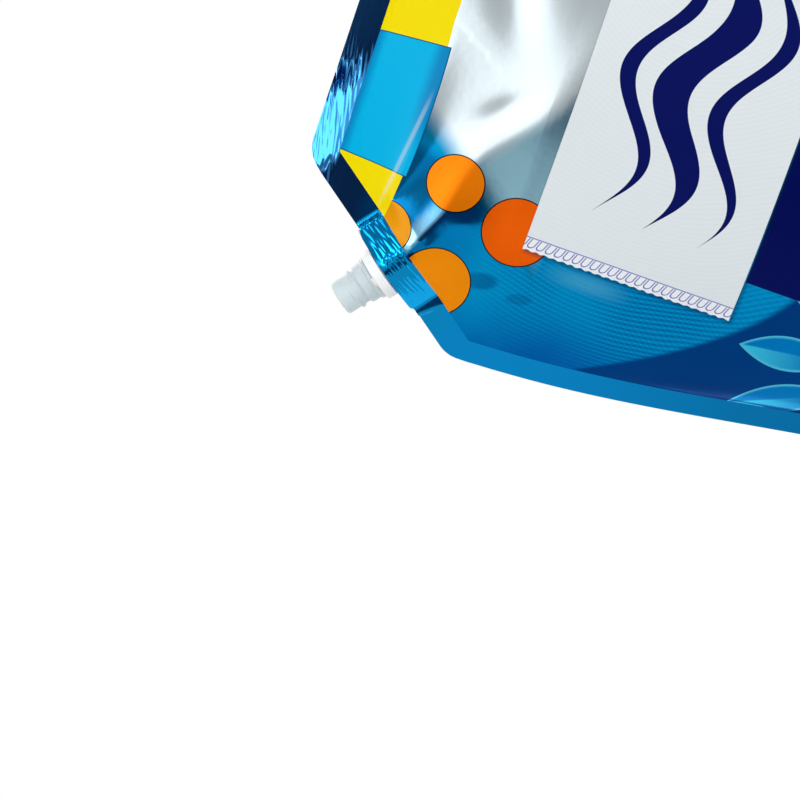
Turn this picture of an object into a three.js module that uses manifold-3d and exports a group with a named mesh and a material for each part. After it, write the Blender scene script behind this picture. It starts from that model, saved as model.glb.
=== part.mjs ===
// A stand-up refill pouch for liquid fabric softener, filled and standing on its bottom gusset.
// Its top left corner is cut off, and a pouring spout is welded into the seal there.
// The screw cap is off, and the tamper-evident band that it left behind turns on the spout's neck.
//
// Millimetres, +Z up. The front faces -Y, +X is to the right as the front is read,
// and the origin is the middle of the foot.
import * as THREE from "three";
import { mergeVertices } from "three/addons/utils/BufferGeometryUtils.js";
import Module from "manifold-3d";

// Pouch outline, seen from the front
const POUCH_HEIGHT = 320; // foot to top edge
const POUCH_WIDTH = 232; // across the top, where the film lies flat
const CORNER_CUT_ACROSS = 55.5; // the cut corner, along the top edge
const CORNER_CUT_DOWN = 71; // the cut corner, down the side edge
const CORNER_ROUND = 12; // radius of the outline at its three top corners
const SIDE_DRAW_IN = 20; // how far the filling pulls each side edge in, at its narrowest
const WAIST_HEIGHT = 25; // height of that narrowest place above the foot

// Heat seals round the edge
const TOP_SEAL = 10.5;
const SIDE_SEAL = 8;
const CORNER_SEAL = 10;
const SEAL_THICKNESS = 0.7; // both films together
const FILM = 0.4; // one film, where it covers the spout's base
const TIP_COVER = 2.5; // how far the film bridges past the base's pointed ends
const SWELL_REACH = 70; // how far the swelling behind the spout's base runs into the body

// Filled body
const BASE_DEPTH = 88; // front to back at the foot
const TAPER = 1.3; // above 1, the body stays deep for longer on its way up
const FOOT_FULLNESS = 0.55; // 0.5 is an ellipse in plan, 1 is a lens
const TOP_FULLNESS = 0.95;
const PUCKER_DEPTH = 1.8; // shallow gathers along the side seals
const PUCKER_PITCH = 64; // they come about this far apart, though not evenly

// Bottom gusset, between the two skirts that the pouch stands on
const SKIRT_HEIGHT = 5; // the weld's height above the floor, half way along
const SKIRT_END_HEIGHT = 7; // and beside the side seals
const GUSSET_FLAT = 0.72; // share of the depth that lies on the floor
const GUSSET_FLAT_LENGTH = 120; // length of the part that lies on the floor

// Spout, along its own axis from the film's edge outwards
const SPOUT_FROM_TOP = 51; // from the cut corner's upper end, along the cut
const BORE_DIAMETER = 10.4;
const NOSE_DIAMETER = 12.9;
const NECK_DIAMETER = 15;
const BEAD_HEIGHT = 0.8; // stands out of the neck and keeps the band from coming off
const BEAD_WIDTH = 1.8;
const NECK_LENGTH = 3.3; // from the bead to the shoulder
const SHOULDER_LENGTH = 0.8; // tapers from the neck to the nose
const NOSE_LENGTH = 9.1;
const LIP_ROUND = 0.5;
const BASE_LENGTH = 35; // the boat-shaped base inside the seal, along the cut
const BASE_STAND_OUT = 0.9; // how far the base stands out of the film
const BASE_SHARPNESS = 1.7; // 2 is a round boat, 1 is a rhombus
const BASE_WALL = 1.5; // round the bore, at the base's middle

// Cap thread on the nose
const THREAD_PITCH = 2.8;
const THREAD_TURNS = 1.15;
const THREAD_HEIGHT = 0.85;
const THREAD_ROOT_WIDTH = 1.3;
const THREAD_CREST_WIDTH = 0.5;
const THREAD_START = 0.8; // from the shoulder to the middle of the first turn

// Tamper-evident band
const BAND_WALL = 1.9;
const BAND_WIDTH = 3.8;
const BAND_EDGE_ROUND = 0.4;
const BAND_TABS = 3; // stubs of the bridges that held the cap
const TAB_LENGTH = 3.2; // round the band
const TAB_HEIGHT = 0.8;

// Clearances
const FIT_GAP = 0.3; // between a piece and what it sits in
const BAND_PLAY = 0.35; // round the neck, so that the band turns

// Fineness of the facets
const BODY_ROWS = 20; // below the cut corner
const CORNER_ROWS = 26; // beside the cut corner
const TOP_ROWS = 6; // in the top seal
const BODY_COLUMNS = 26;
const SEAL_COLUMNS = 3; // across the left seal, where the spout is
const CROWDING = 0.6; // draws the columns towards the side seals
const ROUND_STEPS = 48; // round the spout and the band
const THREAD_STEPS = 24; // in each turn
const BASE_STEPS = 14; // along each side of the spout's base

const wasm = await Module();
wasm.setup();

// Lengths and places that follow from the sizes above

const HALF_WIDTH = POUCH_WIDTH / 2;
const SEAL_TOP = POUCH_HEIGHT - TOP_SEAL; // where the filled body ends
const CUT_LENGTH = Math.hypot(CORNER_CUT_ACROSS, CORNER_CUT_DOWN);
const CUT_ANGLE = Math.atan2(CORNER_CUT_ACROSS, CORNER_CUT_DOWN); // from the vertical
const CUT_LOW = POUCH_HEIGHT - CORNER_CUT_DOWN; // where the cut meets the side edge
const CUT_TOP_X = CORNER_CUT_ACROSS - HALF_WIDTH; // where the cut meets the top edge
const alongCut = new THREE.Vector3(CORNER_CUT_ACROSS, 0, CORNER_CUT_DOWN).divideScalar(CUT_LENGTH);
const outOfCut = new THREE.Vector3(-CORNER_CUT_DOWN, 0, CORNER_CUT_ACROSS).divideScalar(CUT_LENGTH);
const spoutFoot = new THREE.Vector3(CUT_TOP_X, 0, POUCH_HEIGHT).addScaledVector(alongCut, -SPOUT_FROM_TOP);

const LOW_TANGENT = CORNER_ROUND * Math.tan(CUT_ANGLE / 2);
const HIGH_TANGENT = CORNER_ROUND * Math.tan((Math.PI / 2 - CUT_ANGLE) / 2);
const SIDE_TOP = CUT_LOW - LOW_TANGENT; // the straight side edge ends here

const BASE_HALF_LENGTH = BASE_LENGTH / 2;
const BASE_HALF_DEPTH = BORE_DIAMETER / 2 + BASE_WALL;
const BAND_BOTTOM = BASE_STAND_OUT + FIT_GAP;
const BEAD_BOTTOM = BAND_BOTTOM + BAND_WIDTH + FIT_GAP;
const BEAD_TOP = BEAD_BOTTOM + BEAD_WIDTH;
const SHOULDER_BOTTOM = BEAD_TOP + NECK_LENGTH;
const NOSE_BOTTOM = SHOULDER_BOTTOM + SHOULDER_LENGTH;
const LIP = NOSE_BOTTOM + NOSE_LENGTH;
const BEAD_RADIUS = NECK_DIAMETER / 2 + BEAD_HEIGHT;
const BAND_INNER = NECK_DIAMETER / 2 + BAND_PLAY;
const BAND_OUTER = BAND_INNER + BAND_WALL;

// Outline of the pouch and of the seals inside it

function drawIn(z) {
  const down = (SIDE_TOP - z) / (SIDE_TOP - WAIST_HEIGHT);
  return down <= 0 ? 0 : SIDE_DRAW_IN * Math.sin((down * Math.PI) / 2) ** 2;
}

// Horizontal distance from the end of an arc's span to the arc, at a height above the arc's centre.
function roundedBy(height) {
  return CORNER_ROUND - Math.sqrt(Math.max(0, CORNER_ROUND ** 2 - height ** 2));
}

function leftEdge(z) {
  const lowArcEnd = CUT_LOW + LOW_TANGENT * Math.cos(CUT_ANGLE);
  const highArcStart = POUCH_HEIGHT - HIGH_TANGENT * Math.cos(CUT_ANGLE);
  if (z <= SIDE_TOP) return drawIn(z) - HALF_WIDTH;
  if (z <= lowArcEnd) return roundedBy(z - SIDE_TOP) - HALF_WIDTH;
  if (z <= highArcStart) return (z - CUT_LOW) * Math.tan(CUT_ANGLE) - HALF_WIDTH;
  return CUT_TOP_X + HIGH_TANGENT - CORNER_ROUND + roundedBy(z - POUCH_HEIGHT + CORNER_ROUND);
}

function rightEdge(z) {
  const aboveArcStart = z - POUCH_HEIGHT + CORNER_ROUND;
  return HALF_WIDTH - drawIn(z) - (aboveArcStart > 0 ? roundedBy(aboveArcStart) : 0);
}

function leftSeal(z) {
  const besideSide = drawIn(z) - HALF_WIDTH + SIDE_SEAL;
  const besideCut = (z - CUT_LOW) * Math.tan(CUT_ANGLE) - HALF_WIDTH + CORNER_SEAL / Math.cos(CUT_ANGLE);
  return Math.max(besideSide, besideCut);
}

function rightSeal(z) {
  return HALF_WIDTH - drawIn(z) - SIDE_SEAL;
}

const FOOT_LENGTH = 2 * rightSeal(0);

// Height where the inside of the side seal meets the inside of the corner seal.
const SEAL_CORNER = CUT_LOW + (SIDE_SEAL - CORNER_SEAL / Math.cos(CUT_ANGLE)) / Math.tan(CUT_ANGLE);

// Thickness of the pouch

// Half the depth of the spout's boat-shaped base, at a distance along the cut from its middle.
function baseProfile(along) {
  return BASE_HALF_DEPTH * Math.max(0, 1 - (Math.abs(along) / BASE_HALF_LENGTH) ** BASE_SHARPNESS);
}

// Half the depth of the film that is stretched over the spout's base, and of the cone that it
// makes from there into the body.
function spoutSwell(x, z) {
  const along = (x - spoutFoot.x) * alongCut.x + (z - spoutFoot.z) * alongCut.z;
  const inwards = -(x - spoutFoot.x) * outOfCut.x - (z - spoutFoot.z) * outOfCut.z;
  const pastSeal = Math.max(0, inwards - CORNER_SEAL);
  const fade = Math.max(0, 1 - pastSeal / SWELL_REACH);
  const spread = 1 + pastSeal / BASE_LENGTH;
  const cover = FIT_GAP + FILM;
  const reach = BASE_HALF_LENGTH + TIP_COVER;
  const across = Math.abs(along) / (reach * spread);
  return (BASE_HALF_DEPTH + cover) * fade * Math.max(0, 1 - across ** BASE_SHARPNESS);
}

// Half the depth of the filled body, with side +1 for the back film and -1 for the front film.
function bodySwell(x, z, side) {
  const rise = z / SEAL_TOP;
  const left = leftSeal(z);
  const right = rightSeal(z);
  if (rise >= 1 || x <= left || x >= right) return 0;
  const across = (2 * x - left - right) / (right - left);
  const fullness = FOOT_FULLNESS + (TOP_FULLNESS - FOOT_FULLNESS) * rise;
  const depth = (BASE_DEPTH / 2) * (1 - rise ** TAPER) * (1 - across ** 2) ** fullness;
  const turn = ((z + (side * x) / 3) / PUCKER_PITCH) * 2 * Math.PI;
  const gather = Math.sin(turn + side) * Math.cos(turn / Math.SQRT2 - side * across);
  const besideSeal = (4 * across ** 2 * (1 - across ** 2)) ** 2;
  return depth + PUCKER_DEPTH * gather * besideSeal * Math.sin(rise * Math.PI);
}

function halfDepth(x, z, side) {
  const swell = Math.hypot(bodySwell(x, z, side), spoutSwell(x, z));
  return Math.max(SEAL_THICKNESS / 2, swell);
}

// Triangles

// A closed surface that is gathered point by point and strip by strip.
class Surface {
  points = [];
  triangles = [];

  point(x, y, z) {
    this.points.push(x, y, z);
    return this.points.length / 3 - 1;
  }

  triangle(a, b, c) {
    if (a !== b && b !== c && c !== a) this.triangles.push(a, b, c);
  }

  distance(a, b) {
    const from = this.points.slice(3 * a, 3 * a + 3);
    const to = this.points.slice(3 * b, 3 * b + 3);
    return Math.hypot(to[0] - from[0], to[1] - from[1], to[2] - from[2]);
  }

  // Fills the space between two rows of points, seen with the second row above the first
  // and both running to the right. Each cell is split along its shorter diagonal.
  strip(low, high) {
    for (let i = 1; i < low.length; i++) {
      const [a, b, c, d] = [low[i - 1], low[i], high[i], high[i - 1]];
      if (this.distance(a, c) <= this.distance(b, d)) {
        this.triangle(a, b, c);
        this.triangle(a, c, d);
      } else {
        this.triangle(a, b, d);
        this.triangle(b, c, d);
      }
    }
  }

  geometry() {
    const geometry = new THREE.BufferGeometry();
    geometry.setAttribute("position", new THREE.Float32BufferAttribute(this.points, 3));
    geometry.setIndex(this.triangles);
    return geometry;
  }
}

function toSolid(geometry) {
  const bare = geometry.clone();
  bare.deleteAttribute("normal");
  bare.deleteAttribute("uv");
  const merged = mergeVertices(bare);
  const mesh = new wasm.Mesh({
    numProp: 3,
    vertProperties: merged.attributes.position.array,
    triVerts: new Uint32Array(merged.index.array),
  });
  return new wasm.Manifold(mesh);
}

function toGeometry(solid) {
  const mesh = solid.getMesh();
  const geometry = new THREE.BufferGeometry();
  geometry.setAttribute("position", new THREE.BufferAttribute(mesh.vertProperties, 3));
  geometry.setIndex(new THREE.BufferAttribute(mesh.triVerts, 1));
  geometry.computeVertexNormals();
  return geometry;
}

// Pouch

function smooth(t) {
  const clamped = Math.min(1, Math.max(0, t));
  return clamped * clamped * (3 - 2 * clamped);
}

function spaced(from, to, steps) {
  return Array.from({ length: steps }, (_, i) => from + ((to - from) * i) / steps);
}

function rowHeights() {
  return [
    ...spaced(0, SEAL_CORNER, BODY_ROWS),
    ...spaced(SEAL_CORNER, SEAL_TOP, CORNER_ROWS),
    ...spaced(0, Math.PI / 2, TOP_ROWS).map((angle) => SEAL_TOP + TOP_SEAL * Math.sin(angle)),
    POUCH_HEIGHT,
  ];
}

// Places across the pouch at one height: the left seal, the body and the right seal.
// The seals' inner sides stay clear of the rounded corners.
function columnPlaces(z) {
  const left = Math.max(leftSeal(z), leftEdge(z) + SIDE_SEAL / 2);
  const right = Math.min(rightSeal(z), rightEdge(z) - SIDE_SEAL / 2);
  const places = spaced(leftEdge(z), left, SEAL_COLUMNS);
  for (let i = 0; i <= BODY_COLUMNS; i++) {
    const even = i / BODY_COLUMNS;
    const crowded = (1 - Math.cos(even * Math.PI)) / 2;
    places.push(left + (right - left) * (even + (crowded - even) * CROWDING));
  }
  places.push(rightEdge(z));
  return places;
}

// The underside at one place along the foot: the front skirt, the gusset and the back skirt,
// as points from the front film's lower edge to the back film's.
function gussetProfile(surface, x, front, back) {
  const inside = halfDepth(x, 0, 1) - SEAL_THICKNESS;
  if (bodySwell(x, 0, 1) <= SEAL_THICKNESS) return [front, front, front, front, back, back, back, back];
  const towardsEnd = smooth((2 * Math.abs(x) - GUSSET_FLAT_LENGTH) / (FOOT_LENGTH - GUSSET_FLAT_LENGTH));
  const skirt = SKIRT_HEIGHT + (SKIRT_END_HEIGHT - SKIRT_HEIGHT) * towardsEnd;
  const floor = SKIRT_END_HEIGHT * towardsEnd;
  return [
    front,
    surface.point(x, -inside, 0),
    surface.point(x, -inside, skirt),
    surface.point(x, -inside * GUSSET_FLAT, floor),
    surface.point(x, inside * GUSSET_FLAT, floor),
    surface.point(x, inside, skirt),
    surface.point(x, inside, 0),
    back,
  ];
}

function pouchShell() {
  const surface = new Surface();
  const heights = rowHeights();
  const film = (side) =>
    heights.map((z) => columnPlaces(z).map((x) => surface.point(x, side * halfDepth(x, z, side), z)));
  const front = film(-1);
  const back = film(1);
  for (let row = 1; row < heights.length; row++) {
    surface.strip(front[row - 1], front[row]);
    surface.strip(back[row], back[row - 1]);
    surface.strip([back[row - 1][0], front[row - 1][0]], [back[row][0], front[row][0]]);
    surface.strip([front[row - 1].at(-1), back[row - 1].at(-1)], [front[row].at(-1), back[row].at(-1)]);
  }
  surface.strip(front.at(-1), back.at(-1));
  const profiles = columnPlaces(0).map((x, i) => gussetProfile(surface, x, front[0][i], back[0][i]));
  for (let i = 1; i < profiles.length; i++) surface.strip(profiles[i - 1], profiles[i]);
  return surface.geometry();
}

// The spout's boat-shaped base as a solid along +Y from the seal's inner side to the film's edge,
// grown by a gap on every side but the outer one, where it runs past the edge instead.
function boat(gap, past) {
  const side = (sign) =>
    spaced(0, Math.PI, BASE_STEPS).map((angle) => {
      const share = sign * Math.cos(angle);
      const depth = baseProfile(BASE_HALF_LENGTH * share) + gap;
      return new THREE.Vector2((BASE_HALF_LENGTH + gap) * share, sign * depth);
    });
  const outline = new THREE.Shape([...side(1), ...side(-1)]);
  const length = CORNER_SEAL + gap + past;
  const geometry = new THREE.ExtrudeGeometry(outline, { depth: length, bevelEnabled: false });
  return geometry.rotateX(-Math.PI / 2).translate(0, past - length, 0);
}

// The group that the spout and its band are placed in: +Y out of the pouch, +X up along the cut
// and +Z to the front.
function spoutPlace() {
  const place = new THREE.Group();
  place.position.copy(spoutFoot);
  place.setRotationFromMatrix(
    new THREE.Matrix4().makeBasis(alongCut, outOfCut, new THREE.Vector3(0, -1, 0)),
  );
  place.updateMatrix();
  return place;
}

function pouch(place) {
  const pocket = boat(FIT_GAP, BAND_BOTTOM).applyMatrix4(place.matrix);
  return toGeometry(toSolid(pouchShell()).subtract(toSolid(pocket)));
}

// Spout

function turned(profile) {
  const points = profile.map(([radius, height]) => new THREE.Vector2(radius, height));
  return new THREE.LatheGeometry(points, ROUND_STEPS);
}

function spoutTube() {
  const nose = NOSE_DIAMETER / 2;
  const neck = NECK_DIAMETER / 2;
  const root = (BORE_DIAMETER + BASE_WALL) / 2; // inside the base
  return turned([
    [0, -CORNER_SEAL / 2],
    [root, -CORNER_SEAL / 2],
    [root, FIT_GAP],
    [neck, FIT_GAP],
    [neck, BEAD_BOTTOM],
    [BEAD_RADIUS, BEAD_BOTTOM],
    [BEAD_RADIUS, BEAD_TOP - BEAD_HEIGHT / 2],
    [neck, BEAD_TOP],
    [neck, SHOULDER_BOTTOM],
    [nose, NOSE_BOTTOM],
    [nose, LIP - LIP_ROUND],
    [nose - LIP_ROUND, LIP],
    [0, LIP],
  ]);
}

function spoutBore() {
  const radius = BORE_DIAMETER / 2;
  return turned([
    [0, -CORNER_SEAL - FIT_GAP],
    [radius, -CORNER_SEAL - FIT_GAP],
    [radius, LIP + FIT_GAP],
    [0, LIP + FIT_GAP],
  ]);
}

// The cap's thread: one ridge that climbs round the nose and sinks into it at both ends.
function thread() {
  const surface = new Surface();
  const steps = Math.round(THREAD_TURNS * THREAD_STEPS);
  const root = NOSE_DIAMETER / 2 - THREAD_HEIGHT / 2;
  const sections = [];
  for (let i = 0; i <= steps; i++) {
    const angle = (i / THREAD_STEPS) * 2 * Math.PI;
    const middle = NOSE_BOTTOM + THREAD_START + (i / THREAD_STEPS) * THREAD_PITCH;
    const share = smooth((4 * Math.min(i, steps - i)) / THREAD_STEPS);
    const crest = root + 1.5 * THREAD_HEIGHT * (0.1 + 0.9 * share);
    const corner = (radius, width) =>
      surface.point(radius * Math.sin(angle), middle + width / 2, radius * Math.cos(angle));
    sections.push([
      corner(root, -THREAD_ROOT_WIDTH),
      corner(crest, -THREAD_CREST_WIDTH),
      corner(crest, THREAD_CREST_WIDTH),
      corner(root, THREAD_ROOT_WIDTH),
    ]);
  }
  const closed = (section) => [...section, section[0]];
  for (let i = 1; i < sections.length; i++) surface.strip(closed(sections[i]), closed(sections[i - 1]));
  surface.strip([sections[0][0], sections[0][1]], [sections[0][3], sections[0][2]]);
  const last = sections.at(-1);
  surface.strip([last[1], last[0]], [last[2], last[3]]);
  return surface.geometry();
}

function spout() {
  const solid = toSolid(spoutTube()).add(toSolid(boat(0, BASE_STAND_OUT))).add(toSolid(thread()));
  return toGeometry(solid.subtract(toSolid(spoutBore())));
}

// Tamper-evident band

function bandRing() {
  const top = BAND_BOTTOM + BAND_WIDTH;
  return turned([
    [BAND_INNER, BAND_BOTTOM],
    [BAND_OUTER - BAND_EDGE_ROUND, BAND_BOTTOM],
    [BAND_OUTER, BAND_BOTTOM + BAND_EDGE_ROUND],
    [BAND_OUTER, top - BAND_EDGE_ROUND],
    [BAND_OUTER - BAND_EDGE_ROUND, top],
    [BAND_INNER, top],
    [BAND_INNER, BAND_BOTTOM],
  ]);
}

// A stub of a bridge, standing on the band's outer edge clear of the bead, and sunk half way into it.
function tab(index) {
  const inner = BEAD_RADIUS + FIT_GAP;
  const outer = BAND_OUTER - BAND_EDGE_ROUND;
  const length = TAB_HEIGHT + BAND_WIDTH / 2;
  const stub = new THREE.BoxGeometry(TAB_LENGTH, length, outer - inner);
  stub.translate(0, BAND_BOTTOM + BAND_WIDTH + TAB_HEIGHT - length / 2, (inner + outer) / 2);
  return stub.rotateY((index / BAND_TABS) * 2 * Math.PI);
}

function band() {
  let solid = toSolid(bandRing());
  for (let i = 0; i < BAND_TABS; i++) solid = solid.add(toSolid(tab(i)));
  return toGeometry(solid);
}

// Assembly

function piece(name, geometry, color, roughness, metalness) {
  const mesh = new THREE.Mesh(geometry, new THREE.MeshStandardMaterial({ color, roughness, metalness }));
  mesh.name = name;
  return mesh;
}

const place = spoutPlace();
place.add(piece("spout", spout(), 0xdde6ea, 0.35, 0));
place.add(piece("tamper_band", band(), 0xf4f6f7, 0.4, 0));

const refillPouch = new THREE.Group();
refillPouch.name = "refill_pouch";
refillPouch.add(piece("pouch", pouch(place), 0x0a6fb4, 0.25, 0.6), place);

export default refillPouch;
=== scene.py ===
"""Dresses the refill pouch: printed film with seals and creases, a translucent spout and a white band."""

import math

import bpy
import numpy as np
from mathutils import Matrix, Vector


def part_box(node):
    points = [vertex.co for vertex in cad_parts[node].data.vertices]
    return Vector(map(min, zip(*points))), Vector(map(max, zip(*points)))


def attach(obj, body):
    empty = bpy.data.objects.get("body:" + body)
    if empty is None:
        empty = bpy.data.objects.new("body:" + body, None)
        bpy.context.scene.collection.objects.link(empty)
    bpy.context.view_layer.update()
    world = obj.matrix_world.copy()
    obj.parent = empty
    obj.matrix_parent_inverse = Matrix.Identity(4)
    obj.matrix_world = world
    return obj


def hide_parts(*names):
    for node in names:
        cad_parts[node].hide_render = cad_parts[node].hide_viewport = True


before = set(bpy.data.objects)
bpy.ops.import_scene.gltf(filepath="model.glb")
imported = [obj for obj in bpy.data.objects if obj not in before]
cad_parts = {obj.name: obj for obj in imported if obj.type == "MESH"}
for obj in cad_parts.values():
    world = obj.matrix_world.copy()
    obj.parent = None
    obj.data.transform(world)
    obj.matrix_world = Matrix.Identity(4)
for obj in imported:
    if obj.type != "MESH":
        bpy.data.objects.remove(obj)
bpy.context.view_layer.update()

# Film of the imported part, in millimetres like all sizes below
MM = 0.001
pouch_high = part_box("pouch")[1]
HEIGHT = pouch_high[2] / MM
HALF_WIDTH = pouch_high[0] / MM
HALF_DEPTH = pouch_high[1] / MM
CUT_ACROSS = 55.5
CUT_DOWN = 71.0
CORNER_ROUND = 12.0
SIDE_DRAW_IN = 20.0
WAIST_HEIGHT = 25.0
TOP_SEAL = 10.5
SIDE_SEAL = 8.0
CORNER_SEAL = 10.0
SEAL_THICKNESS = 0.7
FILM = 0.35
SWELL_REACH = 70.0
TAPER = 1.3
FOOT_FULLNESS = 0.55
TOP_FULLNESS = 0.95
PUCKER_DEPTH = 1.8
PUCKER_PITCH = 64.0

# Bottom gusset
SKIRT_HEIGHT = 5.0
SKIRT_END_HEIGHT = 7.0
SKIRT_RISE = 16.0
GUSSET_FLAT = 0.72
GUSSET_FLAT_LENGTH = 120.0

# Spout, with heights measured out from the cut edge
SPOUT_FROM_TOP = 51.0
BASE_HALF_LENGTH = 17.5
BASE_HALF_DEPTH = 6.7
BASE_SHARPNESS = 1.7
FILM_COVER = 0.7
TIP_COVER = 0.9
LIP_OVER = 0.95
SLOT_GAP = 0.04
SLOT_MARGIN = 0.05
BORE_RADIUS = 5.2
NOSE_RADIUS = 6.45
NECK_RADIUS = 7.5
BEAD_RADIUS = 8.3
BASE_TOP = 0.9
BASE_BOTTOM = 0.4 - CORNER_SEAL
BEAD_BOTTOM = 5.3
BEAD_TOP = 7.1
SHOULDER_BOTTOM = 10.4
NOSE_BOTTOM = 11.2
LIP = 20.3
LIP_ROUND = 0.5
BORE_ROUND = 0.3
THREAD_PITCH = 2.8
THREAD_TURNS = 1.15
THREAD_HEIGHT = 0.85
THREAD_START = 0.8
THREAD_HALF_WIDTH = 0.68
THREAD_FLANK = 0.45
THREAD_RUN_OUT = 0.25
THREAD_DELAY = 0.35

# Band
BAND_BOTTOM = 1.2
BAND_TOP = 5.0
BAND_INNER = 7.85
BAND_OUTER = 9.75
BAND_EDGE_ROUND = 0.4
BAND_BORE_ROUND = 0.2
BAND_TABS = 3
TAB_LENGTH = 3.2
TAB_HEIGHT = 0.8
TAB_ROOT = 0.6
TAB_ROUND = 0.22
TAB_GAP = 0.3

# Places that follow from them
SEAL_TOP = HEIGHT - TOP_SEAL
CUT_LENGTH = math.hypot(CUT_ACROSS, CUT_DOWN)
CUT_ANGLE = math.atan2(CUT_ACROSS, CUT_DOWN)
CUT_LOW = HEIGHT - CUT_DOWN
CUT_TOP_X = CUT_ACROSS - HALF_WIDTH
ALONG_CUT = Vector((CUT_ACROSS, 0, CUT_DOWN)) / CUT_LENGTH
OUT_OF_CUT = Vector((-CUT_DOWN, 0, CUT_ACROSS)) / CUT_LENGTH
SPOUT_FOOT = Vector((CUT_TOP_X, 0, HEIGHT)) - ALONG_CUT * SPOUT_FROM_TOP
LOW_TANGENT = CORNER_ROUND * math.tan(CUT_ANGLE / 2)
HIGH_TANGENT = CORNER_ROUND * math.tan((math.pi / 2 - CUT_ANGLE) / 2)
SIDE_TOP = CUT_LOW - LOW_TANGENT
SEAL_CORNER = CUT_LOW + (SIDE_SEAL - CORNER_SEAL / math.cos(CUT_ANGLE)) / math.tan(CUT_ANGLE)


def smooth(t):
    t = np.clip(t, 0, 1)
    return t * t * (3 - 2 * t)


def bump(t):
    """1 at 0, falling smoothly to 0 at -1 and 1."""
    return smooth(1 - np.abs(t))


def lattice(i, j, seed):
    """A number from -1 to 1 that belongs to one point of a grid."""
    mixed = np.sin(i * 127.1 + j * 311.7 + seed * 74.7) * 43758.5453
    return 2 * (mixed - np.floor(mixed)) - 1


def noise(u, v, seed):
    """Smooth hills and hollows, from -1 to 1, about one unit across."""
    i, j = np.floor(u), np.floor(v)
    right, up = smooth(u - i), smooth(v - j)
    low = lattice(i, j, seed) * (1 - right) + lattice(i + 1, j, seed) * right
    high = lattice(i, j + 1, seed) * (1 - right) + lattice(i + 1, j + 1, seed) * right
    return low * (1 - up) + high * up


# Outline of the film and of the seals inside it


def draw_in(z):
    down = np.clip((SIDE_TOP - z) / (SIDE_TOP - WAIST_HEIGHT), 0, None)
    return SIDE_DRAW_IN * np.sin(down * math.pi / 2) ** 2


def rounded_by(height):
    return CORNER_ROUND - np.sqrt(np.clip(CORNER_ROUND**2 - height**2, 0, None))


def left_edge(z):
    low_arc_end = CUT_LOW + LOW_TANGENT * math.cos(CUT_ANGLE)
    high_arc_start = HEIGHT - HIGH_TANGENT * math.cos(CUT_ANGLE)
    side = draw_in(z) - HALF_WIDTH
    low_arc = rounded_by(z - SIDE_TOP) - HALF_WIDTH
    cut = (z - CUT_LOW) * math.tan(CUT_ANGLE) - HALF_WIDTH
    high_arc = CUT_TOP_X + HIGH_TANGENT - CORNER_ROUND + rounded_by(z - HEIGHT + CORNER_ROUND)
    stretches = [z <= SIDE_TOP, z <= low_arc_end, z <= high_arc_start]
    return np.select(stretches, [side, low_arc, cut], high_arc)


def right_edge(z):
    above = z - HEIGHT + CORNER_ROUND
    return HALF_WIDTH - draw_in(z) - np.where(above > 0, rounded_by(above), 0)


def left_seal(z):
    beside_side = draw_in(z) - HALF_WIDTH + SIDE_SEAL
    beside_cut = (z - CUT_LOW) * math.tan(CUT_ANGLE) - HALF_WIDTH + CORNER_SEAL / math.cos(CUT_ANGLE)
    return np.maximum(beside_side, beside_cut)


def right_seal(z):
    return HALF_WIDTH - draw_in(z) - SIDE_SEAL


FOOT_LENGTH = 2 * float(right_seal(np.array(0.0)))


def foot_end(x):
    """0 along the gusset's flat middle, rising to 1 at the ends of the foot."""
    return smooth((2 * np.abs(x) - GUSSET_FLAT_LENGTH) / (FOOT_LENGTH - GUSSET_FLAT_LENGTH))


def cut_place(x, z):
    """How far a place is up along the cut from the spout, and how far in from the cut edge."""
    dx, dz = x - SPOUT_FOOT.x, z - SPOUT_FOOT.z
    return dx * ALONG_CUT.x + dz * ALONG_CUT.z, -dx * OUT_OF_CUT.x - dz * OUT_OF_CUT.z


# Thickness of the filled pouch
FRONT_CALM = 0.8


def spout_swell(x, z):
    along, inwards = cut_place(x, z)
    past = np.clip(inwards - CORNER_SEAL, 0, None)
    fade = np.clip(1 - past / SWELL_REACH, 0, None)
    spread = 1 + past / (2 * BASE_HALF_LENGTH)
    across = np.abs(along) / ((BASE_HALF_LENGTH + TIP_COVER) * spread)
    return (BASE_HALF_DEPTH + FILM_COVER) * fade * np.clip(1 - across**BASE_SHARPNESS, 0, None)


def body_share(x, z):
    """-1 at the left seal, 0 in the middle and 1 at the right seal."""
    left, right = left_seal(z), right_seal(z)
    return np.clip((2 * x - left - right) / (right - left), -1, 1)


def body_swell(x, z, side):
    """The filled body, with gathers that are calmer on the upper left of the front."""
    rise = np.clip(z / SEAL_TOP, 0, 1)
    across = body_share(x, z)
    fullness = FOOT_FULLNESS + (TOP_FULLNESS - FOOT_FULLNESS) * rise
    depth = HALF_DEPTH * (1 - rise**TAPER) * np.power(1 - across**2, fullness)
    turn = (z + side * x / 3) / PUCKER_PITCH * 2 * math.pi
    gather = np.sin(turn + side) * np.cos(turn / math.sqrt(2) - side * across)
    beside = (4 * across**2 * (1 - across**2)) ** 2
    calm = 1 - FRONT_CALM * smooth(-x / 30) * smooth((z - 90) / 60) * (side < 0)
    return np.clip(depth + PUCKER_DEPTH * calm * gather * beside * np.sin(rise * math.pi), 0, None)


# Creases and dents, as heights that stand out of the film


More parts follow.
